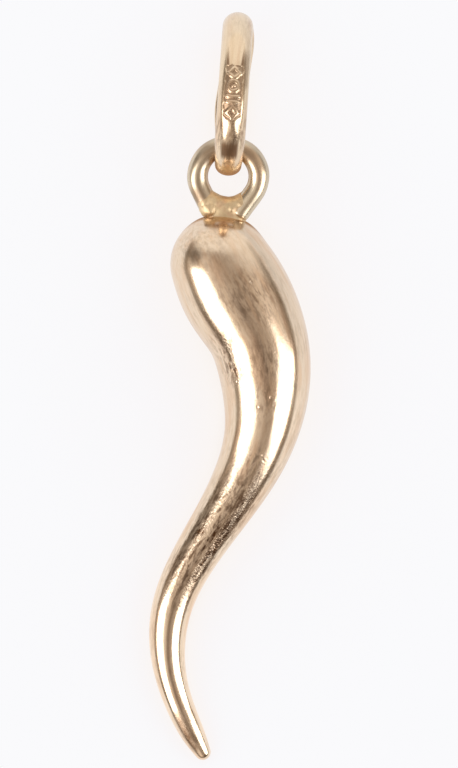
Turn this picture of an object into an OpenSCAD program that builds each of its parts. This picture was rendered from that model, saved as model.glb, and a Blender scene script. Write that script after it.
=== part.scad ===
// Cornicello: a small twisted horn charm, cast solid in yellow gold, with an eyelet of round
// wire soldered to its crown and a split jump ring threaded through the eyelet.
// It lies on a table as it would by itself: belly and tip touch the table, and the jump ring
// stands on its edge. Millimetres. +Y runs from the tip to the jump ring, +X to the right
// and +Z up. The origin is on the table, under the middle of the whole part.

/* [Horn] */
// Length of the horn from the top of its crown to its tip
horn_len = 22.03; // [18:0.01:26]
// Thickness of the horn at its belly
belly_d = 4.32; // [3.6:0.02:5]
// Sideways reach of the centre line, from the bend on the right to the bend on the left
sway = 3.95; // [2.5:0.05:5]

/* [Eyelet] */
// Diameter of the eyelet's round wire
eye_wire_d = 0.83; // [0.6:0.01:1.1]
// Play between the eyelet's hole and each edge of the jump ring that passes through it
side_play = 0.205; // [0.15:0.005:0.4]
// Depth to which the eyelet's wire is sunk into the crown
solder_depth = 0.05; // [0.02:0.01:0.3]

/* [Solder foot] */
// Width of the solder foot across the neck
foot_w = 1.85; // [1.4:0.05:2.6]
// Thickness of the solder foot from front to back
foot_t = 0.95; // [0.7:0.05:1.4]
// Height of the solder foot above the crown
foot_rise = 0.35; // [0.15:0.05:0.5]

/* [Jump ring] */
// Outer diameter of the jump ring
ring_d = 6.57; // [5.4:0.01:8]
// Width of the ring's half-round wire
ring_w = 1.22; // [0.9:0.01:1.6]
// Thickness of the ring's wire, from its crowned outside to its flat inside
ring_t = 0.58; // [0.45:0.01:0.8]
// Gap between the wire's edges and the eyelet where the ring hangs in it
edge_gap = 0.08; // [0.04:0.005:0.12]
// Angle by which the standing ring leans to the right of the pendant's axis
ring_lean = 4; // [0:0.5:6]
// Angle by which each end of the split ring is bent sideways
end_bend = 2; // [0:0.5:5]
// Angle from the ring's lowest point to its cut, towards the free side
cut_turn = 13; // [0:1:40]
// Width of the cut between the ring's two ends
cut_w = 0.05; // [0.02:0.01:0.2]

/* [Hidden] */
gold = "#E0BD86";
pale_gold = "#EBCB98";

// Columns of the table of sections
DOWN = 0;
SIDE = 1;
WIDE = 2;
// Sections from crown to tip, each a sphere that the skin is drawn over. DOWN is a share of the
// way from the first sphere's centre to the last one's, SIDE a share of the sway to the right
// of the eyelet, and WIDE a share of the belly's thickness.
sections = [
    [0.00, -0.08, 0.93],
    [0.06,  0.07, 1.05],
    [0.13,  0.29, 0.92],
    [0.20,  0.37, 0.88],
    [0.27,  0.39, 0.79],
    [0.34,  0.35, 0.68],
    [0.41,  0.23, 0.59],
    [0.48,  0.04, 0.51],
    [0.55, -0.19, 0.45],
    [0.62, -0.41, 0.41],
    [0.69, -0.57, 0.38],
    [0.76, -0.63, 0.35],
    [0.83, -0.61, 0.30],
    [0.90, -0.51, 0.26],
    [0.96, -0.37, 0.24],
    [1.00, -0.26, 0.15],
];
last = len(sections) - 1;
crown_r = belly_d / 2 * sections[0][WIDE];
tip_r = belly_d / 2 * sections[last][WIDE];
spine_len = horn_len - crown_r - tip_r;

// Fineness of the horn's skin, of the round wires and of the solder
sides = 28;
body_steps = 45;
crown_steps = 6;
tip_steps = 4;
nudge = 0.01;
wire_fn = 32;
bend_fn = 96;
solder_fn = 20;

// Row i of the table, with one more beyond each end so that the spine ends on the end rows
function row(i) =
    i < 0 ? 2 * sections[0] - sections[1]
    : i > last ? 2 * sections[last] - sections[last - 1]
    : sections[i];

// Weight of the nearer row of a smooth blend
function near(u) = 3 * pow(u, 3) - 6 * pow(u, 2) + 4;

// Smooth blend of the four rows around t, which counts rows from the crown
function blend(t) =
    let (i = max(0, min(floor(t), last - 1)), u = t - i)
    (pow(1 - u, 3) * row(i - 1) + near(u) * row(i) + near(1 - u) * row(i + 1)
        + pow(u, 3) * row(i + 2)) / 6;

// Sphere at t, as its place right of the eyelet, its place above the crown and its radius
function ball(t) =
    let (s = blend(t))
    [sway * s[SIDE], -crown_r - spine_len * s[DOWN], belly_d / 2 * s[WIDE]];

// Step of the spheres at t
function stride(t) = ball(t + nudge) - ball(t - nudge);

// Direction of the spine at t, in the horn's own plane
function heading(t) =
    let (s = stride(t))
    [s.x, s.y] / norm([s.x, s.y]);

// Angle at which the skin leaves the sphere at t, from how fast the spheres grow
function lean_back(t) =
    let (s = stride(t))
    asin(s.z / norm([s.x, s.y]));

// Point of the skin: on the sphere at t, turned back from its equator, and a around the spine
function skin(t, back, a) =
    let (b = ball(t), h = heading(t), out = b.z * cos(back))
    [
        b.x - h.x * b.z * sin(back) + h.y * out * cos(a),
        b.y - h.y * b.z * sin(back) - h.x * out * cos(a),
        out * sin(a)
    ];

// Every ring of the skin from crown to tip, as its sphere and how far back it lies on it
rings = concat(
    [for (k = [1 : crown_steps - 1]) [0, 90 - (90 - lean_back(0)) * k / crown_steps]],
    [for (k = [0 : body_steps]) [last * k / body_steps, lean_back(last * k / body_steps)]],
    [for (k = [1 : tip_steps - 1]) [last, lean_back(last) - (90 + lean_back(last)) * k / tip_steps]]
);
skin_points = concat(
    [skin(0, 90, 0)],
    [for (r = rings, k = [0 : sides - 1]) skin(r[0], r[1], 360 * k / sides)],
    [skin(last, -90, 0)]
);

// How the horn lies: turned about X until its upper and its lower half both touch the table
balls = [for (k = [0 : body_steps]) ball(last * k / body_steps)];
upper = [for (b = balls) if (b.y > -horn_len / 2) b];
lower = [for (b = balls) if (b.y <= -horn_len / 2) b];
function reach_down(b, tilt) = b.y * sin(tilt) - b.z;
function touching(half, tilt) =
    let (low = min([for (b = half) reach_down(b, tilt)]))
    [for (b = half) if (reach_down(b, tilt) == low) b][0];
function settle(tilt, rounds) =
    let (u = touching(upper, tilt), l = touching(lower, tilt))
    rounds == 0 ? tilt : settle(asin((u.z - l.z) / (u.y - l.y)), rounds - 1);
settle_rounds = 6;
lie_tilt = settle(0, settle_rounds);
lift = -min([for (p = skin_points) p.y * sin(lie_tilt) + p.z * cos(lie_tilt)]);

// Place of a point of the horn's plane on the lying horn, as its Y and Z
function laid(y) = [y * cos(lie_tilt), y * sin(lie_tilt) + lift];

// Eyelet, in the horn's own plane
eye_hole_r = ring_w / 2 + side_play;
eye_mid_r = eye_hole_r + eye_wire_d / 2;
crown_top = ball(0).y + sqrt(pow(crown_r, 2) - pow(ball(0).x, 2));
eye_y = crown_top - solder_depth + eye_hole_r + eye_wire_d;

// The solder has run a third of the way from the eyelet's axis to the crown's
foot_x = ball(0).x / 3;

// Section of the ring's wire: a high crown outside and a low one inside the widest level
crown_share = 0.66;
crown_h = crown_share * ring_t;
inner_h = ring_t - crown_h;
ring_mid_r = ring_d / 2 - crown_h;
section_steps = 9;
wire_section = concat(
    [for (k = [0 : section_steps]) let (a = 180 * k / section_steps)
        [ring_mid_r + crown_h * sin(a), ring_w / 2 * cos(a)]],
    [for (k = [1 : section_steps - 1]) let (a = 180 * k / section_steps)
        [ring_mid_r - inner_h * sin(a), -ring_w / 2 * cos(a)]]
);

// The ring stands on the table. It hangs in the hole's upper half, where the widest level of
// its wire clears the eyelet by the gap at its edges.
hang = sqrt(pow(eye_hole_r - edge_gap, 2) - pow(ring_w / 2, 2));
hung = laid(eye_y + hang);
ring_z = ring_d / 2;
ring_y = hung[0] + sqrt(pow(ring_mid_r, 2) - pow(ring_z - hung[1], 2));
ring_x = (ring_y - hung[0]) * tan(ring_lean);
cut_angle = cut_w / ring_mid_r * 180 / PI;
// Angle by which the flat upper half runs on into each bent end
lap = 0.5;

// Middle of the whole part, seen from above
ring_top = ring_y + ring_mid_r * cos(ring_lean)
    + norm([crown_h * cos(ring_lean), ring_w / 2 * sin(ring_lean)]);
tip_low = min([for (p = skin_points) p.y * cos(lie_tilt) - p.z * sin(lie_tilt)]);
centre_x = (min([for (p = skin_points) p.x]) + max([for (p = skin_points) p.x])) / 2;
centre_y = (ring_top + tip_low) / 2;

// Solid horn, drawn over its spheres
module horn_body() {
    tip_pole = len(skin_points) - 1;
    function at(r, k) = 1 + r * sides + k % sides;
    faces = concat(
        [for (k = [0 : sides - 1]) [0, at(0, k + 1), at(0, k)]],
        [for (r = [0 : len(rings) - 2], k = [0 : sides - 1]) each [
            [at(r, k), at(r + 1, k + 1), at(r + 1, k)],
            [at(r, k), at(r, k + 1), at(r + 1, k + 1)]
        ]],
        [for (k = [0 : sides - 1]) [tip_pole, at(len(rings) - 1, k), at(len(rings) - 1, k + 1)]]
    );
    polyhedron(points = skin_points, faces = faces);
}

// Round wire bent to a ring, standing in the horn's plane
module eyelet() {
    translate([0, eye_y, 0])
        rotate_extrude($fn = bend_fn)
            translate([eye_mid_r, 0])
                circle(d = eye_wire_d, $fn = wire_fn);
}

// Solder that has run between the eyelet and the crown
module solder_foot() {
    corner_x = (foot_w - foot_t) / 2;
    high_y = crown_top + foot_rise - foot_t / 2;
    low_y = crown_top - foot_t / 2;
    hull()
        for (x = [-corner_x, corner_x], y = [high_y, low_y])
            translate([foot_x + x, y, 0])
                sphere(d = foot_t, $fn = solder_fn);
}

// Horn with its eyelet, soldered into one solid, as it lies
module horn() {
    color(gold)
        translate([-centre_x, -centre_y, lift])
            rotate([lie_tilt, 0, 0]) {
                horn_body();
                eyelet();
                solder_foot();
            }
}

// Arc of the ring's wire in the ring's own plane, from one angle on by the other
module wire_arc(from, sweep) {
    rotate([0, 0, from])
        rotate_extrude(angle = sweep, $fn = bend_fn)
            polygon(wire_section);
}

// Split ring: its upper half is flat, and each end below it is bent to its own side. In the
// ring's own plane X runs to the free side and Y up.
module split_ring() {
    wire_arc(-lap, 180 + 2 * lap);
    translate([ring_mid_r, 0, 0])
        rotate([0, end_bend, 0])
            translate([-ring_mid_r, 0, 0])
                wire_arc(-90 + cut_turn + cut_angle / 2, 90 - cut_turn - cut_angle / 2);
    translate([-ring_mid_r, 0, 0])
        rotate([0, end_bend, 0])
            translate([ring_mid_r, 0, 0])
                wire_arc(180, 90 + cut_turn - cut_angle / 2);
}

// Jump ring, standing on the table through the eyelet
module jump_ring() {
    color(pale_gold)
        translate([ring_x - centre_x, ring_y - centre_y, ring_z])
            rotate([0, 0, -ring_lean])
                rotate([90, 0, 90])
                    split_ring();
}

horn();
jump_ring();
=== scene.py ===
# Cornicello, dressed: a small twisted horn charm in yellow gold with its eyelet and jump ring,
# lying on a pale table. Metres, +Y from the tip to the jump ring, +X right and +Z up.
import math

import bmesh
import bpy
from mathutils import Matrix, Vector, noise


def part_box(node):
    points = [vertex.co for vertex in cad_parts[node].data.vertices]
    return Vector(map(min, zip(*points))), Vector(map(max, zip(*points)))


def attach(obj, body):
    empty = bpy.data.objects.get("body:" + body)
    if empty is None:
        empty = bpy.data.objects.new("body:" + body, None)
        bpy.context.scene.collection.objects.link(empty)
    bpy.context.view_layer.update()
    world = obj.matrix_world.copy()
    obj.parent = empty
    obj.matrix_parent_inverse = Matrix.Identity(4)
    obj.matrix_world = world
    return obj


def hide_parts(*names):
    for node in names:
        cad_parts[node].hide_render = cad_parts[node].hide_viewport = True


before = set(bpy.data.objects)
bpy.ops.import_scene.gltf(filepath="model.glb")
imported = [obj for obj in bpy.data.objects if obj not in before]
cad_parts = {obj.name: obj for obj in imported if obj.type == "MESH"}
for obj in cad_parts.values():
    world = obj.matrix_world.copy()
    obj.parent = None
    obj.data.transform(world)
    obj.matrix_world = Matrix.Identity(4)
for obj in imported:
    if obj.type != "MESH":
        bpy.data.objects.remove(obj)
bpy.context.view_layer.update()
MM = 0.001
scene = bpy.context.scene

# Horn: one solid casting in 14 carat yellow gold, round in section, bent to an S and drawn out
# to a blunt tip. It was filed and polished along its length, and it lies on belly and tip.
horn_len = 22.03 * MM
belly_d = 4.32 * MM
sway = 3.95 * MM
lie_tilt = math.radians(5.86)
# Sections from crown to tip: share of the centre line's length, share of the sway to the right
# of the eyelet, share of the belly's thickness
horn_rows = [
    (0.00, -0.08, 0.93),
    (0.06, 0.07, 1.05),
    (0.13, 0.29, 0.92),
    (0.20, 0.37, 0.88),
    (0.27, 0.39, 0.79),
    (0.34, 0.35, 0.68),
    (0.41, 0.23, 0.59),
    (0.48, 0.04, 0.51),
    (0.55, -0.19, 0.45),
    (0.62, -0.41, 0.41),
    (0.69, -0.57, 0.38),
    (0.76, -0.63, 0.35),
    (0.83, -0.61, 0.30),
    (0.90, -0.51, 0.26),
    (0.96, -0.37, 0.24),
    (1.00, -0.26, 0.15),
]
horn_sides = 32
body_steps = 60
crown_steps = 8
tip_steps = 5
nudge = 0.05

last = len(horn_rows) - 1
crown_r = belly_d / 2 * horn_rows[0][2]
tip_r = belly_d / 2 * horn_rows[last][2]
spine_len = horn_len - crown_r - tip_r
inner_rows = [Vector(r) for r in horn_rows]
padded_rows = [2 * inner_rows[0] - inner_rows[1]] + inner_rows + [2 * inner_rows[-1] - inner_rows[-2]]


def near_share(u):
    """Weight of the nearer row in a smooth blend of four."""
    return 3 * u**3 - 6 * u**2 + 4


def ball(t):
    """Centre in the horn's own plane and radius of the sphere at t, counted in rows."""
    i = min(int(max(t, 0)), last - 1)
    u = t - i
    a, b, c, d = padded_rows[i:i + 4]
    down, side, wide = ((1 - u)**3 * a + near_share(u) * b + near_share(1 - u) * c + u**3 * d) / 6
    return Vector((sway * side, -crown_r - spine_len * down, 0)), belly_d / 2 * wide


def spine(t):
    """Step of the centre line at t, and how much the radius grows over that step."""
    (ahead, ahead_r), (behind, behind_r) = ball(t + nudge), ball(t - nudge)
    return ahead - behind, ahead_r - behind_r


def lean_back(t):
    """Angle at which the skin leaves the sphere at t."""
    step, growth = spine(t)
    return math.asin(growth / step.length)


def skin(t, back, around):
    """Point of the skin, turned back from the sphere's equator and round the spine."""
    centre, radius = ball(t)
    ahead = spine(t)[0].normalized()
    right = Vector((-ahead.y, ahead.x, 0)) * -1
    ring = right * math.cos(around) + Vector((0, 0, 1)) * math.sin(around)
    return centre - ahead * radius * math.sin(back) + ring * radius * math.cos(back)


crown_lean = lean_back(0)
tip_lean = lean_back(last)
quarter = math.pi / 2
horn_rings = [(0, quarter - (quarter - crown_lean) * k / crown_steps) for k in range(1, crown_steps)]
horn_rings += [(last * k / body_steps, lean_back(last * k / body_steps)) for k in range(body_steps + 1)]
horn_rings += [(last, tip_lean - (quarter + tip_lean) * k / tip_steps) for k in range(1, tip_steps)]

lying = Matrix.Rotation(lie_tilt, 4, "X")
spheres = [(lying @ c, r) for c, r in (ball(last * k / body_steps) for k in range(body_steps + 1))]
horn_low = Vector(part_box("horn")[0])
horn_place = Matrix.Translation((
    horn_low.x - min(c.x - r for c, r in spheres),
    horn_low.y - min(c.y - r for c, r in spheres),
    horn_low.z - min(c.z - r for c, r in spheres),
)) @ lying


def swell(bm):
    """Move each vertex out by what a Subdivision Surface will draw it in, but for those round the
    flat end of a wire."""
    moved = {}
    for v in bm.verts:
        if any(len(face.verts) > 4 for face in v.link_faces):
            continue
        around = [e.other_vert(v).co for e in v.link_edges]
        moved[v] = v.co + (v.co - sum(around, Vector()) / len(around)) * 2 / 3
    for v, place in moved.items():
        v.co = place


def to_linear(hex_colour):
    """Linear RGBA of an sRGB hex colour."""
    channels = [int(hex_colour[k:k + 2], 16) / 255 for k in (1, 3, 5)]
    return [c / 12.92 if c <= 0.04045 else ((c + 0.055) / 1.055)**2.4 for c in channels] + [1]


def add(tree, kind, inputs=None, **settings):
    """Add a node with its settings. An input is a value, or a (node, output) pair to link from."""
    node = tree.nodes.new(kind)
    for name, value in settings.items():
        setattr(node, name, value)
    for name, value in (inputs or {}).items():
        if isinstance(value, tuple) and isinstance(value[0], bpy.types.Node):
            tree.links.new(value[0].outputs[value[1]], node.inputs[name])
        else:
            node.inputs[name].default_value = value
    return node


# Sizes in the gold's finish. Real file scratches, pits and specks are about 0.01 mm across, too
# fine to show, so they are drawn as coarse as they need to be.
scratch_w = 0.12 * MM
pit_size = 0.085 * MM
speck_size = 0.13 * MM
bloom_size = 0.42 * MM
buffed_patch = 1.8 * MM
wave_size = 1.4 * MM
wave_depth = 0.005 * MM
nick_depth = 0.014 * MM
# Shares of its radius between which a nick fades out, where its ragged edge counts as about half
nick_floor, nick_edge = 0.5, 1.4
# Scale of the patterns along the piece, where across it is 1: scratches, specks, rosy blooms
scratch_along, speck_along, bloom_along = 0.05, 0.28, 0.16
rosy_gold = "#E8C2A0"
speck_brown = "#6E4E34"
# Brown of stains and of painted shade and painted dark reflections, and how much rougher they make the
# gold
dirt_and_shade_brown = "#83644A"
dirt_and_shade_roughness = 0.24
unbuffed_gain = 1.3
unbuffed_roughness = 0.04


def gold_finish(name, colour, dull_colour, roughness, grain, streaks, bent=True, nicks=()):
    """Gold alloy, filed and buffed by hand: warm mirror with fine lengthways scratches, slightly uneven
    polish and small casting pits. On a bent piece the attribute unbent gives each point's place as if
    its wire or horn were straight, along Z, so that the scratches run with it. The attribute rough_cast
    says where the buff didn't reach, and the other attribute says where the gold is darkened: by stains
    that have stayed, and by painted shade and painted dark reflections. Each nick is a place on the
    piece, right and up from its middle, and a radius."""
    material = bpy.data.materials.new(name)
    material.use_nodes = True
    tree = material.node_tree
    tree.nodes.clear()
    if bent:
        place = (add(tree, "ShaderNodeAttribute", attribute_name="unbent"), "Vector")
    else:
        place = (add(tree, "ShaderNodeTexCoord"), "Object")
    dirt_and_shade = add(tree, "ShaderNodeAttribute", attribute_name="tarnish")
    rough_cast = add(tree, "ShaderNodeAttribute", attribute_name="rough_cast")
    long_place = add(tree, "ShaderNodeMapping", {"Vector": place, "Scale": (1, 1, scratch_along)})
    scratch = add(tree, "ShaderNodeTexNoise", {
        "Vector": (long_place, "Vector"), "Scale": 1 / scratch_w, "Detail": 3})
    grit = add(tree, "ShaderNodeTexNoise", {
        "Vector": place, "Scale": 1 / pit_size, "Detail": 2, "Roughness": 0.6})
    soil_place = add(tree, "ShaderNodeMapping", {"Vector": place, "Scale": (1, 1, speck_along)})
    soil = add(tree, "ShaderNodeTexNoise", {
        "Vector": (soil_place, "Vector"), "Scale": 1 / speck_size, "Detail": 4, "Roughness": 0.62})
    patch = add(tree, "ShaderNodeTexNoise", {"Vector": place, "Scale": 1 / buffed_patch, "Detail": 2})
    patchy = add(tree, "ShaderNodeMapRange", {
        "Value": (patch, "Fac"), "From Min": 0.40, "From Max": 0.62, "To Min": 0.06, "To Max": 0.32})
    unbuffed = add(tree, "ShaderNodeMath", {
        0: (rough_cast, "Fac"), 1: unbuffed_gain, 2: (patchy, "Result")}, operation="MULTIPLY_ADD")
    # Nicks: small ragged dents, each within its radius of a place seen from above
    depth = 0
    from_above = add(tree, "ShaderNodeVectorMath", {
        0: (add(tree, "ShaderNodeTexCoord"), "Object"), 1: (1, 1, 0)}, operation="MULTIPLY")
    for x, y, radius in nicks:
        away = add(tree, "ShaderNodeVectorMath", {0: (from_above, "Vector"), 1: (x, y, 0)},
                   operation="DISTANCE")
        ragged = add(tree, "ShaderNodeMath", {0: (grit, "Fac"), 1: radius, 2: (away, "Value")},
                     operation="MULTIPLY_ADD")
        nick = add(tree, "ShaderNodeMapRange", {
            "Value": (ragged, "Value"), "From Min": nick_edge * radius,
            "From Max": nick_floor * radius},
            interpolation_type="SMOOTHSTEP")
        deeper = add(tree, "ShaderNodeMath", {0: depth, 1: (nick, "Result")}, operation="MAXIMUM")
        depth = (deeper, "Value")
    nicked = add(tree, "ShaderNodeBump", {"Height": depth, "Strength": 1, "Distance": nick_depth},
                 invert=True)
    wave = add(tree, "ShaderNodeTexNoise", {"Vector": place, "Scale": 1 / wave_size, "Detail": 1})
    waves = add(tree, "ShaderNodeBump", {
        "Height": (wave, "Fac"), "Normal": (nicked, "Normal"), "Strength": 1, "Distance": wave_depth})
    scratches = add(tree, "ShaderNodeBump", {
        "Height": (scratch, "Fac"), "Normal": (waves, "Normal"), "Strength": 1,
        "Distance": streaks})
    gritty = add(tree, "ShaderNodeMath", {0: (grit, "Fac"), 1: (unbuffed, "Value")},
                 operation="MULTIPLY")
    grits = add(tree, "ShaderNodeBump", {
        "Height": (gritty, "Value"), "Normal": (scratches, "Normal"), "Strength": 1,
        "Distance": grain})
    speck = add(tree, "ShaderNodeMapRange", {
        "Value": (soil, "Fac"), "From Min": 0.44, "From Max": 0.62, "To Max": 0.68})
    specks = add(tree, "ShaderNodeMath", {0: (speck, "Result"), 1: (unbuffed, "Value")},
                 operation="MULTIPLY")
    stain = add(tree, "ShaderNodeMapRange", {
        "Value": (scratch, "Fac"), "From Min": 0.45, "From Max": 0.75, "To Max": 0.45})
    bloom_place = add(tree, "ShaderNodeMapping", {"Vector": place, "Scale": (1, 1, bloom_along)})
    bloom = add(tree, "ShaderNodeTexNoise", {
        "Vector": (bloom_place, "Vector"), "Scale": 1 / bloom_size, "Detail": 2})
    rosy = add(tree, "ShaderNodeMapRange", {
        "Value": (bloom, "Fac"), "From Min": 0.48, "From Max": 0.66, "To Max": 0.5})
    # A mix of two colours takes the second one's share at input 0 and the colours at 6 and 7, and
    # gives the mixed colour at output 2
    bloomed = add(tree, "ShaderNodeMix", {
        0: (rosy, "Result"), 6: to_linear(colour), 7: to_linear(rosy_gold)}, data_type="RGBA")
    stained = add(tree, "ShaderNodeMix", {
        0: (stain, "Result"), 6: (bloomed, 2), 7: to_linear(dull_colour)}, data_type="RGBA")
    specked = add(tree, "ShaderNodeMix", {
        0: (specks, "Value"), 6: (stained, 2), 7: to_linear(speck_brown)}, data_type="RGBA")
    colours = add(tree, "ShaderNodeMix", {
        0: (dirt_and_shade, "Fac"), 6: (specked, 2), 7: to_linear(dirt_and_shade_brown)}, data_type="RGBA")
    rough = add(tree, "ShaderNodeMapRange", {
        "Value": (unbuffed, "Value"), "From Max": 2, "To Min": roughness,
        "To Max": roughness + unbuffed_roughness})
    rougher = add(tree, "ShaderNodeMath", {0: (dirt_and_shade, "Fac"), 1: dirt_and_shade_roughness, 2: (rough, "Result")},
                  operation="MULTIPLY_ADD")
    shader = add(tree, "ShaderNodeBsdfPrincipled", {
        "Base Color": (colours, 2), "Metallic": 1, "Roughness": (rougher, "Value"),
        "Normal": (grits, "Normal")})
    add(tree, "ShaderNodeOutputMaterial", {"Surface": (shader, "BSDF")})
    return material


def make_piece(name, bm, material, levels=0):
    """Turn a finished bmesh into a smooth object of one material."""
    bmesh.ops.recalc_face_normals(bm, faces=bm.faces)
    for face in bm.faces:
        face.smooth = True
    mesh = bpy.data.meshes.new(name)
    bm.to_mesh(mesh)
    bm.free()
    mesh.materials.append(material)
    piece = bpy.data.objects.new(name, mesh)
    scene.collection.objects.link(piece)
    if levels:
        piece.modifiers.new("Smooth", "SUBSURF").levels = levels
        piece.modifiers["Smooth"].render_levels = levels
    return piece


def verts_of(geom):
    """The vertices in an operator's result."""
    return [g for g in geom if isinstance(g, bmesh.types.BMVert)]


def edges_of(geom):
    """The edges in an operator's result."""
    return [g for g in geom if isinstance(g, bmesh.types.BMEdge)]


def draw_out(bm, edges, step, steps):
    """Lengthen an open tube from its end edges, and give the new end's edges."""
    for _ in range(steps):
        new = bmesh.ops.extrude_edge_only(bm, edges=edges)["geom"]
        bmesh.ops.translate(bm, verts=verts_of(new), vec=step)
        edges = edges_of(new)
    return edges


def extrude_rings(bm, sides, steps):
    """Straight tube of unit radius along Z, one unit a step."""
    bmesh.ops.create_circle(bm, segments=sides, radius=1)
    draw_out(bm, bm.edges[:], (0, 0, 1), steps)


def middle_of(t, back):
    """Middle of the ring of skin at t that is turned back by that angle."""
    return ball(t)[0] - spine(t)[0].normalized() * ball(t)[1] * math.sin(back)


bm = bmesh.new()
unbent = bm.verts.layers.float_vector.new("unbent")
extrude_rings(bm, horn_sides, len(horn_rings) - 1)
crown_ring = [v for v in bm.verts if round(v.co.z) == 0]
tip_ring = [v for v in bm.verts if round(v.co.z) == len(horn_rings) - 1]
crown_cap = bmesh.ops.contextual_create(bm, geom=crown_ring)["faces"]
tip_cap = bmesh.ops.contextual_create(bm, geom=tip_ring)["faces"]
crown_pole = bmesh.ops.poke(bm, faces=crown_cap)["verts"][0]
tip_pole = bmesh.ops.poke(bm, faces=tip_cap)["verts"][0]
length_at = [0]
for above, below in zip(horn_rings, horn_rings[1:]):
    length_at.append(length_at[-1] + (middle_of(*below) - middle_of(*above)).length)
for v in bm.verts:
    if v in (crown_pole, tip_pole):
        continue
    k = round(v.co.z)
    t, back = horn_rings[k]
    around = math.atan2(v.co.y, v.co.x)
    radius = ball(t)[1] * math.cos(back)
    v[unbent] = (radius * math.cos(around), radius * math.sin(around), length_at[k])
    v.co = skin(t, back, around)
crown_pole.co = skin(0, quarter, 0)
tip_pole.co = skin(last, -quarter, 0)
crown_pole[unbent] = (0, 0, 0)
tip_pole[unbent] = (0, 0, length_at[-1])
swell(bm)
bm.transform(horn_place)
# Places that the buff passed over: right of the middle, up from it, reach, and how rough
rough_places = [
    (1.0 * MM, -3.3 * MM, 1.3 * MM, 0.35),
    (0.2 * MM, -4.7 * MM, 1.6 * MM, 0.80),
    (-0.6 * MM, -5.9 * MM, 1.6 * MM, 1.00),
    (-1.4 * MM, -7.1 * MM, 1.4 * MM, 0.80),
    (-1.9 * MM, -8.2 * MM, 1.0 * MM, 0.45),
    (-0.3 * MM, 1.6 * MM, 0.8 * MM, 0.80),
    (0.1 * MM, 0.6 * MM, 0.7 * MM, 0.90),
    (0.6 * MM, 3.5 * MM, 1.6 * MM, 0.40),
    (1.3 * MM, 1.0 * MM, 1.1 * MM, 0.35),
    (1.5 * MM, -0.6 * MM, 0.9 * MM, 0.35),
    (-1.4 * MM, -13.7 * MM, 1.3 * MM, 0.40),
]
# The buff misses the upper side only: how far up the skin that starts and over what it fades in,
# as shares of the radius there
upper_from, upper_fade = 0.45, 0.3
# Painted shade on the crown under the solder foot: its middle, how far it reaches each way, its share
# and how fast it reaches that
crown_shade_x, crown_shade_y = -0.19 * MM, 6.85 * MM
crown_shade_w, crown_shade_h = 1.05 * MM, 0.68 * MM
crown_shade_share, crown_shade_gain = 0.3, 1.2
# Painted shade on the left of the tip, where the skin is also made rough and grainy: how far from the
# tip it starts, fades in and stops, its share, and how far left of the horn's middle it is darkest, as
# a share of the radius there
tip_shade_start, tip_shade_fade, tip_shade_stop = 2.45 * MM, 0.40 * MM, 0.35 * MM
tip_shade_share, tip_shade_rough = 0.75, 0.7
tip_shade_side = 0.42
# A dull place keeps its full share in its middle and fades out this much faster at its edge
edge_gain = 1.6


def clamp(value, most=1):
    """The value, kept between 0 and the most that it may be."""
    return min(most, max(0, value))


def share_at(v, places, gain, most=1):
    """Largest share that a list of round places gives a vertex, fading out over each one's reach."""
    inside = ((1 - math.hypot(v.co.x - x, v.co.y - y) / reach, share) for x, y, reach, share in places)
    return max(share * clamp(gain * near, most) for near, share in inside)


rough_cast = bm.verts.layers.float.new("rough_cast")
tarnish = bm.verts.layers.float.new("tarnish")
for v in bm.verts:
    # Painted shade on the crown under the solder foot
    crown_shade = 1 - math.hypot((v.co.x - crown_shade_x) / crown_shade_w, (v.co.y - crown_shade_y) / crown_shade_h)
    # Where round the horn: left of the picture and up, from -1 to 1. A pole has no such place.
    radius = math.hypot(v[unbent].x, v[unbent].y)
    left, up = (v[unbent].x / radius, v[unbent].y / radius) if radius else (-1, 0)
    to_tip = length_at[-1] - v[unbent].z
    # Painted shade on the left of the tip, where the skin is also made rough and grainy
    tip_shade = clamp(edge_gain * (1 - abs(left - tip_shade_side) / tip_shade_side))
    tip_shade *= clamp(min(tip_shade_start - to_tip, to_tip - tip_shade_stop) / tip_shade_fade)
    on_top = clamp((up - upper_from) / upper_fade)
    v[tarnish] = max(clamp(crown_shade_gain * crown_shade, crown_shade_share), tip_shade_share * tip_shade)
    v[rough_cast] = max(tip_shade_rough * tip_shade, on_top * share_at(v, rough_places, edge_gain))
# Nicks in the polish: right of the middle, up from it, and radius
horn_nicks = [
    (0.85 * MM, 4.20 * MM, 0.09 * MM),
    (1.66 * MM, -0.45 * MM, 0.10 * MM),
    (1.12 * MM, -0.82 * MM, 0.07 * MM),
    (1.30 * MM, -2.74 * MM, 0.05 * MM),
    (1.36 * MM, -2.96 * MM, 0.08 * MM),
    (-0.22 * MM, 1.38 * MM, 0.11 * MM),
    (0.04 * MM, 0.92 * MM, 0.08 * MM),
    (0.13 * MM, 0.66 * MM, 0.12 * MM),
    (0.32 * MM, 0.22 * MM, 0.07 * MM),
]
# Cast gold that was filed and buffed by hand: a bright warm mirror, dull and grainy where the buff
# couldn't follow the bend
cast_gold = gold_finish("buffed_cast_14_carat_gold", "#F4DEC4", "#E5C7A4", roughness=0.17,
                        grain=0.0062 * MM, streaks=0.0022 * MM, nicks=horn_nicks)
horn = make_piece("horn_body", bm, cast_gold, levels=2)
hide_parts("horn")
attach(horn, "root")

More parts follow.
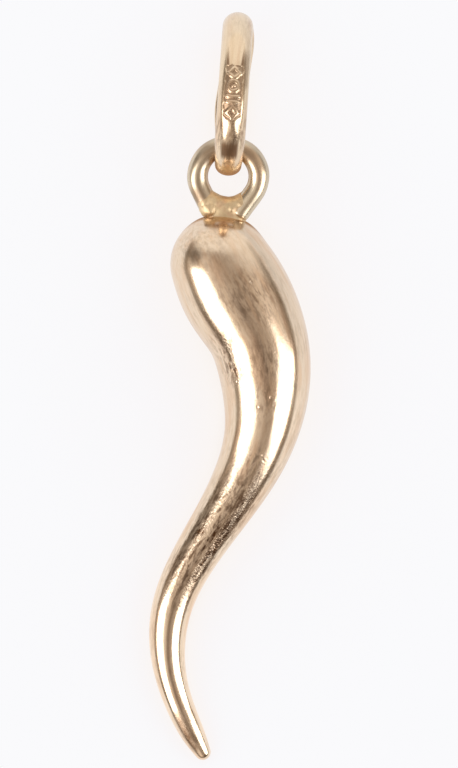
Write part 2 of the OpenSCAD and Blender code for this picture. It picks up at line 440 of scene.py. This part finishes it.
# Eyelet: a length of round gold wire bent to a loop by hand, whose two straight ends stand
# close together on the crown and are soldered there.
eye_wire_d = 0.83 * MM
eye_hole_r = 0.815 * MM
solder_depth = 0.05 * MM
eye_sides = 20
bend_steps = 40
leg_steps = 5
leg_len = 1.15 * MM
right_leg = math.radians(35)
left_leg = math.radians(25)
eye_tilt = math.radians(7)
eye_mid_r = eye_hole_r + eye_wire_d / 2
crown_centre = ball(0)[0]
crown_top = crown_centre.y + math.sqrt(crown_r**2 - crown_centre.x**2)
eye_centre = Vector((0, crown_top - solder_depth + eye_hole_r + eye_wire_d, 0))
eye_root = Vector((0, crown_top, 0))
eye_place = horn_place @ Matrix.Translation(eye_root) @ Matrix.Rotation(eye_tilt, 4, "X")
eye_place = eye_place @ Matrix.Translation(-eye_root)
# The wire was bent by hand, so it wavers a little
waver_size = 0.9 * MM
waver_height = 0.02 * MM

bm = bmesh.new()
unbent = bm.verts.layers.float_vector.new("unbent")
bmesh.ops.create_circle(bm, segments=eye_sides, radius=eye_wire_d / 2)
bmesh.ops.rotate(bm, verts=bm.verts, matrix=Matrix.Rotation(quarter, 3, "X"))
bmesh.ops.translate(bm, verts=bm.verts, vec=(eye_mid_r, 0, 0))
bmesh.ops.rotate(bm, verts=bm.verts, matrix=Matrix.Rotation(-right_leg, 3, "Z"))
right_end = bm.edges[:]
bent = bmesh.ops.spin(bm, geom=bm.verts[:] + bm.edges[:], axis=(0, 0, 1),
                      angle=math.pi + right_leg + left_leg, steps=bend_steps)
for edges, side, turn in ((right_end, 1, right_leg), (edges_of(bent["geom_last"]), -1, left_leg)):
    step = Vector((-side * math.sin(turn), -math.cos(turn), 0)) * leg_len / leg_steps
    bmesh.ops.contextual_create(bm, geom=draw_out(bm, edges, step, leg_steps))
for v in bm.verts:
    side, turn = (1, right_leg) if v.co.x > 0 else (-1, left_leg)
    out = Vector((side * math.cos(turn), -math.sin(turn), 0))
    down = v.co.dot(Vector((-side * math.sin(turn), -math.cos(turn), 0)))
    if v.co.y < 0 and down > 0:
        v[unbent] = (v.co.dot(out) - eye_mid_r, v.co.z, side * (eye_mid_r * (quarter + turn) + down))
    else:
        around = math.atan2(v.co.x, v.co.y)
        v[unbent] = (math.hypot(v.co.x, v.co.y) - eye_mid_r, v.co.z, around * eye_mid_r)
swell(bm)
bmesh.ops.translate(bm, verts=bm.verts, vec=eye_centre)
# The seed gives the same bumps on each run
noise.seed_set(1)
for v in bm.verts:
    v.co += noise.noise_vector(v.co / waver_size) * waver_height
bm.transform(eye_place)
# Darker places low on the left leg and beside the jump ring: right of the middle, up from it, reach and
# share
darker_places = [
    (-1.31 * MM, 7.66 * MM, 0.50 * MM, 1.0),
    (-0.80 * MM, 9.36 * MM, 0.62 * MM, 0.9),
    (0.76 * MM, 9.32 * MM, 0.50 * MM, 0.5),
]
darkest_share = 0.6
tarnish = bm.verts.layers.float.new("tarnish")
for v in bm.verts:
    v[tarnish] = share_at(v, darker_places, 1, darkest_share)
# Drawn gold wire, wiped over with the buff: a softer and greyer mirror than the casting
wire_gold = gold_finish("drawn_14_carat_gold_wire", "#E0D1B8", "#CCB797", roughness=0.27,
                        grain=0.004 * MM, streaks=0.003 * MM)
eyelet = make_piece("eyelet", bm, wire_gold, levels=2)
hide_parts("horn")
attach(eyelet, "root")

# Solder foot: gold solder that has run between the eyelet's ends and onto the crown, rounds the
# bottom of the hole and was left with frozen beads in the corner that no buff reaches.
foot_sides = 48
foot_x = -0.12 * MM
# Sections from the eyelet's hole down: height above the crown, half width, half thickness
foot_rows = [
    (0.70 * MM, 0.30 * MM, 0.16 * MM),
    (0.62 * MM, 0.56 * MM, 0.28 * MM),
    (0.50 * MM, 0.70 * MM, 0.35 * MM),
    (0.36 * MM, 0.76 * MM, 0.39 * MM),
    (0.22 * MM, 0.78 * MM, 0.41 * MM),
    (0.10 * MM, 0.79 * MM, 0.43 * MM),
    (-0.02 * MM, 0.80 * MM, 0.47 * MM),
    (-0.12 * MM, 0.82 * MM, 0.52 * MM),
    (-0.24 * MM, 0.84 * MM, 0.56 * MM),
    (-0.40 * MM, 0.84 * MM, 0.56 * MM),
]
# Frozen beads: right of the eyelet's middle, up from it, forward of it, radius
solder_beads = [
    (-1.00 * MM, -0.76 * MM, 0.00 * MM, 0.40 * MM),
    (-0.90 * MM, -1.00 * MM, 0.06 * MM, 0.40 * MM),
    (-0.78 * MM, -1.26 * MM, 0.06 * MM, 0.42 * MM),
    (-0.94 * MM, -1.04 * MM, 0.26 * MM, 0.20 * MM),
    (-0.74 * MM, -0.80 * MM, 0.04 * MM, 0.23 * MM),
    (-0.46 * MM, -1.06 * MM, 0.16 * MM, 0.26 * MM),
    (-0.12 * MM, -1.16 * MM, 0.12 * MM, 0.27 * MM),
    (-0.72 * MM, -1.36 * MM, 0.28 * MM, 0.20 * MM),
    (0.14 * MM, -1.28 * MM, 0.26 * MM, 0.18 * MM),
    (0.50 * MM, -1.10 * MM, 0.18 * MM, 0.24 * MM),
]
# The hole's bottom, where the solder follows the wire: half its angle, and the round's thickness
hole_bottom_turn = math.radians(75)
solder_wire_d = 0.78 * MM
lump_size = 0.26 * MM
lump_height = 0.024 * MM
# Foot, round and beads are melted into one on cells of this size, and settle in so many rounds
melt = 0.035 * MM
settle_rounds = 10
bm = bmesh.new()
extrude_rings(bm, foot_sides, len(foot_rows) - 1)
for end in (0, len(foot_rows) - 1):
    bmesh.ops.contextual_create(bm, geom=[v for v in bm.verts if round(v.co.z) == end])
for v in bm.verts:
    height, half_w, half_t = foot_rows[round(v.co.z)]
    v.co = (foot_x + half_w * v.co.x, crown_top + height, half_t * v.co.y)
round_bottom = bmesh.ops.create_circle(bm, segments=eye_sides, radius=solder_wire_d / 2)["verts"]
bmesh.ops.rotate(bm, verts=round_bottom, matrix=Matrix.Rotation(quarter, 3, "X"))
bmesh.ops.translate(bm, verts=round_bottom, vec=(eye_mid_r, 0, 0))
bmesh.ops.rotate(bm, verts=round_bottom, matrix=Matrix.Rotation(-quarter - hole_bottom_turn, 3, "Z"))
bmesh.ops.translate(bm, verts=round_bottom, vec=eye_centre)
first_end = list({e for v in round_bottom for e in v.link_edges})
bent = bmesh.ops.spin(bm, geom=round_bottom + first_end, cent=eye_centre, axis=(0, 0, 1),
                      angle=2 * hole_bottom_turn, steps=bend_steps // 2)
bmesh.ops.contextual_create(bm, geom=first_end)
bmesh.ops.contextual_create(bm, geom=edges_of(bent["geom_last"]))
for x, y, z, bead_r in solder_beads:
    bmesh.ops.create_icosphere(bm, subdivisions=2, radius=bead_r,
                               matrix=Matrix.Translation(eye_centre + Vector((x, y, z))))
bmesh.ops.subdivide_edges(bm, edges=bm.edges, cuts=1, use_grid_fill=True)
for v in bm.verts:
    v.co += noise.noise_vector(v.co / lump_size) * lump_height
bm.transform(eye_place)
# Gold solder left as it ran: yellower than the alloy, with a dull, lumpy skin
solder_gold = gold_finish("gold_solder_as_run", "#EED8B2", "#D5B487", roughness=0.50,
                          grain=0.006 * MM, streaks=0.001 * MM, bent=False)
solder_foot = make_piece("solder_foot", bm, solder_gold)
flow = solder_foot.modifiers.new("Flow", "REMESH")
flow.mode = "VOXEL"
flow.voxel_size = melt
flow.use_smooth_shade = True
settle = solder_foot.modifiers.new("Settle", "SMOOTH")
settle.iterations = settle_rounds
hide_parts("horn")
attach(solder_foot, "root")

# Jump ring: half-round gold wire bent to a ring, crowned side out, with its ends pressed shut
# at the back and left slightly off line. A row of punched marks runs down its front.
ring_d = 6.57 * MM
ring_w = 1.22 * MM
ring_t = 0.58 * MM
crown_share = 0.66
ring_lean = math.radians(4)
cut_turn = math.radians(13)
cut_w = 0.05 * MM
section_points = 144
inner_h = ring_t * (1 - crown_share)
ring_mid_r = ring_d / 2 - crown_share * ring_t
# The wire is high and wide where it is free, and worn lower and narrower where it hangs in the
# eyelet, which is at this angle round the ring and fades out over this many degrees
free_crown_h = 0.58 * MM
hung_crown_h = 0.40 * MM
hung_narrow = 0.86
hung_turn, hung_fade = 185, 60
# The half that lies down was bent sideways in an S: how far, where its middle is, how far it
# reaches and over what it fades in, the last three as shares of the ring's radius
back_bend = 0.085 * MM
back_bend_middle = 0.25
back_bend_reach = 0.9
back_bend_fade = 0.5
# The section starts as a circle of this radius, and is drawn out to the half round below
start_r = 0.1 * MM
ring_low, ring_high = (Vector(corner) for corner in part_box("jump_ring"))
ring_middle = (ring_low + ring_high) / 2
bm = bmesh.new()
unbent = bm.verts.layers.float_vector.new("unbent")
tarnish = bm.verts.layers.float.new("tarnish")
rough_cast = bm.verts.layers.float.new("rough_cast")
bmesh.ops.create_circle(bm, segments=section_points, radius=1)
for v in bm.verts:
    v.co = (ring_mid_r + v.co.y * start_r, 0, -v.co.x * start_r)
gap_angle = cut_w / ring_mid_r
first_angle = -math.pi / 2 + cut_turn + gap_angle / 2
# Stretches of the ring: angle at which each ends, and its steps, which are finest at the marks
ring_stretches = [
    (math.radians(66), 36),
    (math.radians(114), 120),
    (first_angle + 2 * math.pi - gap_angle, 52),
]
bmesh.ops.rotate(bm, verts=bm.verts, matrix=Matrix.Rotation(first_angle, 3, "Z"))
profile = bm.verts[:] + bm.edges[:]
first_end = bm.edges[:]
angle = first_angle
for stop, steps in ring_stretches:
    bent = bmesh.ops.spin(bm, geom=profile, axis=(0, 0, 1), angle=stop - angle, steps=steps)
    profile = bent["geom_last"]
    angle = stop
bmesh.ops.contextual_create(bm, geom=first_end)
bmesh.ops.contextual_create(bm, geom=edges_of(profile))

# The punched field: half its length and half its width, and the blunt point at its lower end. Marks
# stand up from its floor. The punch slipped a little, so no line is quite true.
punch_len = 1.15 * MM
punch_half_w = 0.34 * MM
punch_point = 0.16 * MM
punch_depth = 0.05 * MM
punch_dirt = 0.6
wall_w = 0.05 * MM
mark_pitch = 0.55 * MM
mark_size = 0.24 * MM
mark_circle = 0.9 * mark_size
mark_line = 0.072 * MM
# A mark stands up to this share of the field's depth, and ends this many lines from its outline
mark_height = 0.9
mark_edge = 1.4
slip_size = 0.18 * MM
slip_reach = 0.045 * MM
# The ramp that the punch pressed into the wire above the field. Its two walls are about this wide at
# the field and narrow to a tenth of it at the ramp's top. Painted shade on them is darkest a little
# less than half way down them, and it thins out up the ramp.
ramp_len = 1.0 * MM
ramp_wall_w = 0.11 * MM
ramp_depth = 0.04 * MM
ramp_taper = 1.1
ramp_shade, ramp_shade_gain = 0.85, 1.4
wall_shade_reach, wall_shade_gain = 1.7, 2.4
# Painted dark reflection on the wire's flat just above the eyelet: its middle along the wire, how far
# it reaches and fades out each way, and the streaks at its ends
crook_middle, crook_reach, crook_fade = 2.60 * MM, 0.68 * MM, 0.40 * MM
crook_half_w, crook_side_fade = 0.39 * MM, 0.12 * MM
crook_painted_reflection = 0.95
streak_w = 0.05 * MM
streak_len = 0.16 * MM
# Dull patch down the wire's right side, beside the first marks
dull_middle, dull_reach, dull_fade = -1.03 * MM, 0.95 * MM, 0.30 * MM
dull_inner, dull_outer, dull_edge = 0.33 * MM, 0.58 * MM, 0.06 * MM
dull_share = 0.42
# Rubbed stretch between the marks and the eyelet
rubbed_middle, rubbed_reach, rubbed_fade = 1.90 * MM, 0.95 * MM, 0.40 * MM
rubbed_share = 0.45


def lozenge(along, across):
    """Distance from the outline of a lozenge."""
    return abs(abs(along) + abs(across) - mark_size) / math.sqrt(2)


def dot_in_ring(along, across):
    """Distance from a circle and the dot in its middle."""
    reach = math.hypot(along, across)
    return min(abs(reach - mark_circle), reach)


def bars(along, across):
    """Distance from the nearest of two bars across the wire."""
    beyond = max(abs(across) - mark_size, 0)
    return math.hypot(abs(along) - mark_size / 2, beyond)


def ease(share):
    """Smooth step from 0 to 1."""
    share = clamp(share)
    return share * share * (3 - 2 * share)


def turn_of(v):
    """Angle of a point round the ring, from the cut on."""
    turn = math.atan2(v.co.y, v.co.x)
    return turn if turn > first_angle - gap_angle else turn + 2 * math.pi


# The marks from the top down: place in the row, in pitches from its middle, and outline
marks = [(-1.5, lozenge), (-0.5, dot_in_ring), (0.5, bars), (1.5, lozenge)]
for v in bm.verts:
    # Half-round section: up is 1 on the crown and -1 on the flat inner side, wide is across it
    turn = turn_of(v)
    up = (math.hypot(v.co.x, v.co.y) - ring_mid_r) / start_r
    wide = v.co.z / start_r
    hung = ease(1 - abs(math.degrees(turn) - hung_turn) / hung_fade)
    crown_h = free_crown_h + (hung_crown_h - free_crown_h) * hung
    half_w = ring_w / 2 * (1 - (1 - hung_narrow) * hung)
    across = half_w * wide
    along = (turn - quarter) * (ring_d / 2)
    radius = ring_d / 2 - crown_h * (1 - up) if up > 0 else ring_d / 2 - crown_h + inner_h * up
    # Punched field, the ramp above it and the marks on its floor
    slip = noise.noise_vector(Vector((along, across, 0)) / slip_size) * slip_reach
    end = abs(along) + (punch_point * (abs(across) / punch_half_w) if along > 0 else 0) - punch_len
    inside = -max(end, abs(across) - punch_half_w) + slip.z
    sunk = ease(0.5 + inside / wall_w) if up > 0 else 0
    wall_shade = 0
    before = (-punch_len - along) / ramp_len
    if up > 0 and 0 < before < 1:
        down_wall = (punch_half_w - abs(across)) / (ramp_wall_w * (ramp_taper - before))
        radius -= (1 - before) * ease(down_wall) * ramp_depth * (1 - sunk)
        # Painted shade down the ramp's walls
        wall_shade = ramp_shade * min(1, ramp_shade_gain * (1 - before))
        wall_shade *= ease(wall_shade_reach - abs(wall_shade_gain * down_wall - 1))
    if sunk:
        nearest = min(shape(along + slip.x - at * mark_pitch, across + slip.y) for at, shape in marks)
        sunk -= sunk * mark_height * ease(mark_edge - nearest / mark_line)
        radius -= sunk * punch_depth
    v.co = (radius * math.cos(turn), radius * math.sin(turn), across)
    v[unbent] = (up * crown_h, across, along)
    # Dirt in the punched field, painted shade on the ramp's walls, a painted dark reflection on the
    # flat above the eyelet, and a dull place
    streak = noise.noise(Vector((across / streak_w, 0, 0))) * streak_len
    painted_reflection = crook_painted_reflection * ease((crook_half_w - abs(across)) / crook_side_fade)
    painted_reflection *= ease((crook_reach + streak - abs(along - crook_middle)) / crook_fade)
    dull = dull_share * ease((dull_reach - abs(along - dull_middle)) / dull_fade)
    dull *= ease(min(across - dull_inner, dull_outer - across) / dull_edge)
    v[tarnish] = max(punch_dirt * sunk, painted_reflection, wall_shade, dull) if up > 0 else 0
    v[rough_cast] = rubbed_share * ease((rubbed_reach - abs(along - rubbed_middle)) / rubbed_fade)
    # S bend of the half that lies down
    bend_turn = (v.co.x / ring_mid_r - back_bend_middle) / back_bend_reach * math.pi
    if v.co.y < 0 and abs(bend_turn) < math.pi:
        bend_share = ease(-v.co.y / (back_bend_fade * ring_mid_r))
        v.co.z += back_bend * math.sin(bend_turn) * abs(math.sin(bend_turn)) * bend_share
ring_turn = Matrix.Rotation(-ring_lean, 4, "Z") @ Matrix.Rotation(quarter, 4, "Z")
ring_turn = ring_turn @ Matrix.Rotation(quarter, 4, "X")
bm.transform(Matrix.Translation(ring_middle) @ ring_turn)
# One nick in the polish near the ring's top: right of the middle, up from it, and radius
ring_nicks = [(0.12 * MM, 14.72 * MM, 0.06 * MM)]
# Half-round gold wire from the rolls: the palest of the golds, bright, with fine lines along it
ring_gold = gold_finish("rolled_14_carat_gold_half_round", "#F8E1C2", "#E6CBA7", roughness=0.21,
                        grain=0.004 * MM, streaks=0.003 * MM, nicks=ring_nicks)
jump_ring = make_piece("jump_ring_dressed", bm, ring_gold)
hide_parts("jump_ring")
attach(jump_ring, "root")

# Table, lights and camera: a small white table lit from both sides by two soft panels, in a room
# that is warm and dim above, bright on the far side and dark where the table ends.
table_r = 65 * MM
bm = bmesh.new()
bmesh.ops.create_circle(bm, cap_ends=True, segments=64, radius=table_r)
# White painted board, matt and evenly lit: gold glows on it close to the object, and what the
# gold mirrors of it is brighter under the panels
table_paint = bpy.data.materials.new("matt_white_painted_board")
table_paint.use_nodes = True
tree = table_paint.node_tree
tree.nodes.clear()
glow_reach = 8 * MM
open_sky = add(tree, "ShaderNodeAmbientOcclusion", {"Distance": glow_reach}, samples=8)
glow_colour = add(tree, "ShaderNodeValToRGB", {"Fac": (open_sky, "AO")})
# Colour of the table by how much of the room it sees: painted shade and a painted warm glow from the
# gold close to the object
table_tints = [
    (0.05, "#A5805C"),
    (0.36, "#F8F0E8"),
    (0.50, "#FBF6F3"),
    (0.78, "#F9F6F7"),
    (0.94, "#FAFAFC"),
]
stops = glow_colour.color_ramp.elements
for k, (share, tint) in enumerate(table_tints):
    stop = stops[k] if k < len(stops) else stops.new(share)
    stop.position = share
    stop.color = to_linear(tint)
spot = add(tree, "ShaderNodeTexCoord")
# Pools of light and shade on the table: middle, reach, and what it adds in the middle
pools = [
    ((20 * MM, -14 * MM, 0), 20 * MM, 0.18),
    ((-22 * MM, -8 * MM, 0), 26 * MM, 0.08),
    ((16 * MM, 16 * MM, 0), 22 * MM, -0.24),
    ((-3 * MM, -12 * MM, 0), 11 * MM, 0.16),
]
table_light = 0.95
for place, reach, gain in pools:
    away = add(tree, "ShaderNodeVectorMath", {0: (spot, "Object"), 1: place}, operation="DISTANCE")
    pool = add(tree, "ShaderNodeMapRange", {
        "Value": (away, "Value"), "From Min": reach, "From Max": 0, "To Max": gain},
        interpolation_type="SMOOTHSTEP")
    table_light = (add(tree, "ShaderNodeMath", {0: table_light, 1: (pool, "Result")}), "Value")
# The table is in shade beyond the tip
shade_start, shade_full, shade_gain = -18 * MM, -27 * MM, -0.8
spot_parts = add(tree, "ShaderNodeSeparateXYZ", {"Vector": (spot, "Object")})
beyond_tip = add(tree, "ShaderNodeMapRange", {
    "Value": (spot_parts, "Y"), "From Min": shade_start, "From Max": shade_full, "To Max": shade_gain},
    interpolation_type="SMOOTHSTEP")
table_light = (add(tree, "ShaderNodeMath", {0: table_light, 1: (beyond_tip, "Result")}), "Value")
# Inside the eyelet the gold all round throws brown light on the table
hole_middle = (-0.1 * MM, 7.7 * MM, 0)
hole_edge, hole_full, hole_share = 2.7 * MM, 1.5 * MM, 0.9
hole_brown = "#A87A48"
hole_spot = add(tree, "ShaderNodeVectorMath", {0: (spot, "Object"), 1: hole_middle},
                operation="DISTANCE")
hole_shade = add(tree, "ShaderNodeMapRange", {
    "Value": (hole_spot, "Value"), "From Min": hole_edge, "From Max": hole_full, "To Max": hole_share},
    interpolation_type="SMOOTHSTEP")
reflected = add(tree, "ShaderNodeMix", {
    0: (hole_shade, "Result"), 6: (glow_colour, "Color"), 7: to_linear(hole_brown)}, data_type="RGBA")
path = add(tree, "ShaderNodeLightPath")
seen_colour = add(tree, "ShaderNodeMix", {
    0: (path, "Is Camera Ray"), 6: (reflected, 2), 7: (glow_colour, "Color")}, data_type="RGBA")
seen = add(tree, "ShaderNodeMapRange", {
    "Value": (path, "Is Camera Ray"), "To Min": table_light, "To Max": 1})
glow = add(tree, "ShaderNodeEmission", {"Color": (seen_colour, 2), "Strength": (seen, "Result")})
add(tree, "ShaderNodeOutputMaterial", {"Surface": (glow, "Emission")})
table = make_piece("table", bm, table_paint)


def light_panel(name, middle, azimuth, elevation, roll, size, radiance, fades, slant=0):
    """Soft panel that faces the object from that azimuth and elevation. Its light fades out over
    a share of the panel at its left, right, lower and upper edge, and the slant is the share of
    its width by which its upper right corner is cut back. A panel's radiance is its energy over
    four times its area."""
    light = bpy.data.lights.new(name, "AREA")
    light.shape = "RECTANGLE"
    light.size, light.size_y = size
    light.energy = radiance * 4 * size[0] * size[1]
    light.use_nodes = True
    tree = light.node_tree
    tree.nodes.clear()
    face = add(tree, "ShaderNodeNewGeometry")
    across = add(tree, "ShaderNodeSeparateXYZ", {"Vector": (face, "Parametric")})
    slanted = add(tree, "ShaderNodeMath", {0: (across, "Y"), 1: slant, 2: (across, "X")},
                  operation="MULTIPLY_ADD")
    edges = [
        ((across, "X"), 0, fades[0]),
        ((slanted, "Value"), 1, -fades[1]),
        ((across, "Y"), 0, fades[2]),
        ((across, "Y"), 1, -fades[3]),
    ]
    level = 1
    for place, edge, fade in edges:
        level = (add(tree, "ShaderNodeMapRange", {
            "Value": place, "From Min": edge, "From Max": edge + fade, "To Max": level},
            interpolation_type="SMOOTHSTEP"), "Result")
    lamp = add(tree, "ShaderNodeEmission", {"Strength": level})
    add(tree, "ShaderNodeOutputLight", {"Surface": (lamp, "Emission")})
    panel = bpy.data.objects.new(name, light)
    tilt = Matrix.Rotation(quarter - math.radians(elevation), 4, "X")
    heading = Matrix.Rotation(math.radians(azimuth) + quarter, 4, "Z")
    rolled = Matrix.Rotation(math.radians(roll), 4, "Z")
    panel.matrix_world = Matrix.Translation(middle) @ heading @ tilt @ rolled
    panel.visible_camera = False
    scene.collection.objects.link(panel)


light_panel("left_panel", (-50 * MM, -27 * MM, 46 * MM), azimuth=217, elevation=25, roll=-14,
            size=(55 * MM, 55 * MM), radiance=2.7, fades=(0.04, 0.04, 0.04, 0.32))
light_panel("right_panel", (48.5 * MM, -12.6 * MM, 26.6 * MM), azimuth=-12, elevation=59, roll=-20,
            size=(60 * MM, 43 * MM), radiance=2.7, fades=(0.03, 0.14, 0.04, 0.14), slant=0.45)

world = bpy.data.worlds.new("room")
scene.world = world
world.use_nodes = True
tree = world.node_tree
tree.nodes.clear()
# Light that comes from the parts of the room, linear
near_room = [0.42, 0.355, 0.30, 1]
far_room = [0.94, 0.905, 0.865, 1]
lit_wall = [0.95, 0.86, 0.78, 1]
unlit = [0.03, 0.025, 0.02, 1]
far_wall = [0.24, 0.27, 0.29, 1]
warm_wall = [0.62, 0.53, 0.45, 1]
dark_wall = [0.13, 0.09, 0.07, 1]
horizon_wall = [0.14, 0.115, 0.08, 1]
look = add(tree, "ShaderNodeTexCoord")
look_parts = add(tree, "ShaderNodeSeparateXYZ", {"Vector": (look, "Generated")})
far_side = add(tree, "ShaderNodeMapRange", {
    "Value": (look_parts, "Y"), "From Min": 0.27, "From Max": 0.65}, interpolation_type="SMOOTHSTEP")
room_light = add(tree, "ShaderNodeMix", {
    0: (far_side, "Result"), 6: near_room, 7: far_room}, data_type="RGBA")
# Patches of the room: azimuth, angle from straight up, half width, softness, colour and share
patches = [
    (205, 50, 36, 18, lit_wall, 0.55),
    (152, 82, 10, 10, unlit, 0.45),
    (163, 62, 12, 9, unlit, 0.60),
    (10, 50, 16, 12, warm_wall, 0.60),
    (13, 59, 15, 8, lit_wall, 0.45),
    (22, 91, 10, 7, unlit, 0.30),
    (-142, 90, 13, 8, unlit, 0.70),
    (-48, 66, 21, 8, dark_wall, 1.00),
    (-46, 64, 4, 3, far_wall, 0.60),
    (-82, 19, 7, 5, dark_wall, 0.65),
    (-108, 58, 13, 6, lit_wall, 0.85),
    (-112, 94, 17, 6, dark_wall, 0.95),
    (-68, 94, 17, 6, dark_wall, 0.95),
]
for azimuth, zenith, half_width, softness, colour, share in patches:
    heading, lean = math.radians(azimuth), math.radians(zenith)
    towards = (math.sin(lean) * math.cos(heading), math.sin(lean) * math.sin(heading), math.cos(lean))
    nearness = add(tree, "ShaderNodeVectorMath", {0: (look, "Generated"), 1: towards},
                   operation="DOT_PRODUCT")
    patch = add(tree, "ShaderNodeMapRange", {
        "Value": (nearness, "Value"), "From Min": math.cos(math.radians(half_width + softness)),
        "From Max": math.cos(math.radians(half_width - softness)), "To Max": share},
        interpolation_type="SMOOTHSTEP")
    room_light = add(tree, "ShaderNodeMix", {
        0: (patch, "Result"), 6: (room_light, 2), 7: colour}, data_type="RGBA")
# A dark band runs round the room at the table's height, but not on the far side
horizon_height = 0.05
horizon_edge, horizon_full, horizon_share = 0.13, 0.05, 0.65
far_from, far_full = 0.45, 0.80
off_horizon = add(tree, "ShaderNodeMath", {0: (look_parts, "Z"), 1: horizon_height},
                  operation="SUBTRACT")
off_horizon = add(tree, "ShaderNodeMath", {0: (off_horizon, "Value")}, operation="ABSOLUTE")
horizon = add(tree, "ShaderNodeMapRange", {
    "Value": (off_horizon, "Value"), "From Min": horizon_edge, "From Max": horizon_full,
    "To Max": horizon_share},
    interpolation_type="SMOOTHSTEP")
horizon = add(tree, "ShaderNodeMapRange", {
    "Value": (look_parts, "Y"), "From Min": far_full, "From Max": far_from,
    "To Max": (horizon, "Result")},
    interpolation_type="SMOOTHSTEP")
room_light = add(tree, "ShaderNodeMix", {
    0: (horizon, "Result"), 6: (room_light, 2), 7: horizon_wall}, data_type="RGBA")
room = add(tree, "ShaderNodeBackground", {"Color": (room_light, 2)})
# What the camera sees past the table's edge is as pale as the table
backdrop = add(tree, "ShaderNodeBackground", {"Color": to_linear("#FAFAFC"), "Strength": 1})
path = add(tree, "ShaderNodeLightPath")
choose = add(tree, "ShaderNodeMixShader", {
    "Fac": (path, "Is Camera Ray"), 1: (room, "Background"), 2: (backdrop, "Background")})
add(tree, "ShaderNodeOutputWorld", {"Surface": (choose, "Shader")})

# The camera looks straight down from well above, and its frame is this high at the horn's middle
view_high = 30.806 * MM
view_centre = Vector((-0.028 * MM, 0.108 * MM, 2.2 * MM))
camera_rise = 0.8
sensor_high = 36
camera_data = bpy.data.cameras.new("camera")
camera_data.sensor_fit = "VERTICAL"
camera_data.sensor_height = sensor_high
camera_data.lens = sensor_high * camera_rise / view_high
camera_data.clip_start = 0.01
camera = bpy.data.objects.new("camera", camera_data)
camera.location = view_centre + Vector((0, 0, camera_rise))
scene.collection.objects.link(camera)
scene.camera = camera
scene.view_settings.view_transform = "Standard"
